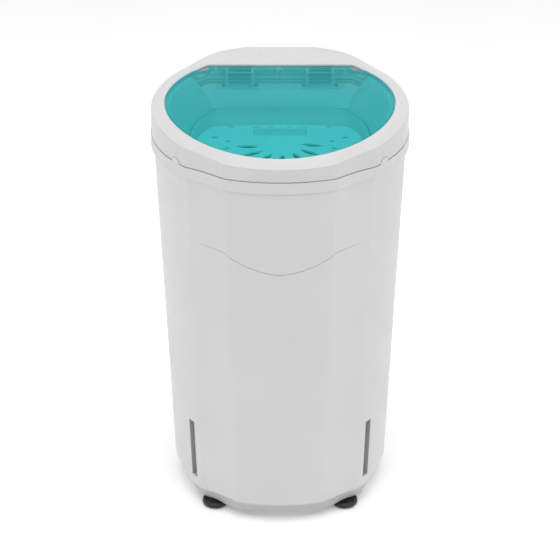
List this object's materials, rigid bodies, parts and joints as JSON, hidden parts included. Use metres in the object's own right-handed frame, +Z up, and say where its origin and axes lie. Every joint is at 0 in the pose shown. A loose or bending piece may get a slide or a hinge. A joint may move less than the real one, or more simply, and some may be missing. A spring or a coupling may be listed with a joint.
{
  "type": "laundry spin dryer",
  "caption": "Upright laundry spin dryer: fluted white drum cabinet, see-through teal lid, slotted inner cover, steel spin basket, motor and lid-linked brake on rubber mounts.",
  "frame": {"origin": "on the floor, under the middle of the outline's bounding box; the drum axis stands 5 mm in front of it, at y = -5 mm", "axes": "+Z up along the drum axis, -Y to the front with the two flutes, +Y to the rear console with the lid's hinge, +X to the right side as the object faces away from the viewer"},
  "size_m": [0.443, 0.438, 0.7442],
  "materials": {
    "white_plastic": "fine moulded texture, satin",
    "cover_plastic": "smooth moulded, satin",
    "lid_plastic": "see-through tinted plastic, polished",
    "inner_plastic": "smooth moulded",
    "tub_plastic": "smooth moulded",
    "stainless": "rolled sheet, brushed",
    "zinc_steel": "zinc plated",
    "cast_alloy": "die cast, as cast",
    "black_rubber": "moulded, slightly glossy",
    "grey_plastic": "moulded",
    "dark_plastic": "moulded",
    "laminations": "stacked electrical sheet, varnished",
    "copper": "varnished copper wire",
    "lining": "pressed brake lining"
  },
  "bodies": {
    "machine": {"cabinet": "white_plastic", "top_cover": "cover_plastic", "hinge_brackets": "cover_plastic", "hinge_pins": "zinc_steel", "hinge_screws": "zinc_steel", "tub": "tub_plastic", "tub_screws": "zinc_steel", "tub_ring": "white_plastic", "splash_ring": "grey_plastic", "shaft_boot": "black_rubber", "boot_clamp": "zinc_steel", "motor_upper_bell": "cast_alloy", "motor_stator": "laminations", "motor_windings": "copper", "motor_lower_bell": "cast_alloy", "motor_bolts": "zinc_steel", "upper_bearing": "zinc_steel", "lower_bearing": "zinc_steel", "motor_plate": "zinc_steel", "rubber_mounts": "black_rubber", "mount_nuts": "zinc_steel", "brake_pivot": "zinc_steel", "brake_cable": "dark_plastic", "switch_bracket": "cover_plastic", "lid_switch": "dark_plastic", "base_plate": "tub_plastic", "base_screws": "zinc_steel", "foot_front_left": "black_rubber", "foot_front_right": "black_rubber", "foot_rear_left": "black_rubber", "foot_rear_right": "black_rubber", "foot_bolts": "zinc_steel", "cover_screws": "zinc_steel", "capacitor": "grey_plastic", "capacitor_clip": "zinc_steel", "terminal_box": "tub_plastic", "cord_gland": "dark_plastic", "drain_hose": "dark_plastic", "drain_spout": "grey_plastic"},
    "lid": {"lid": "lid_plastic"},
    "inner_cover": {"inner_cover": "inner_plastic"},
    "rotor": {"basket": "stainless", "basket_flange": "cast_alloy", "flange_bolts": "zinc_steel", "basket_nut": "zinc_steel", "drive_shaft": "zinc_steel", "brake_drum": "cast_alloy", "motor_rotor": "laminations"},
    "brake_lever": {"brake_arm": "zinc_steel", "brake_pad": "lining"},
    "switch_plunger": {"switch_plunger": "grey_plastic"}
  },
  "joints": [
    {"name": "lid_hinge", "type": "hinge", "parent": "machine", "child": "lid", "pos_m": [0, 0.135, 0.7298], "axis": [-1, 0, 0], "range_deg": [0, 92]},
    {"name": "basket_spin", "type": "hinge", "parent": "machine", "child": "rotor", "pos_m": [0, -0.005, 0.4], "axis": [0, 0, 1], "continuous": true},
    {"name": "inner_cover_lift", "type": "slide", "parent": "machine", "child": "inner_cover", "axis": [0, 0, 1], "range_m": [0, 0.06]},
    {"name": "brake_lever_turn", "type": "hinge", "parent": "machine", "child": "brake_lever", "pos_m": [-0.064, -0.005, 0.215], "axis": [0, 0, 1], "range_deg": [0, 2.5]},
    {"name": "plunger_slide", "type": "slide", "parent": "machine", "child": "switch_plunger", "axis": [0, -1, 0], "range_m": [0, 0.0031]}
  ],
  "couplings": [
    {"joint": "brake_lever_turn", "follows": "lid_hinge", "ratio": 0.0266},
    {"joint": "plunger_slide", "follows": "lid_hinge", "m_per_rad": 0.00187}
  ]
}
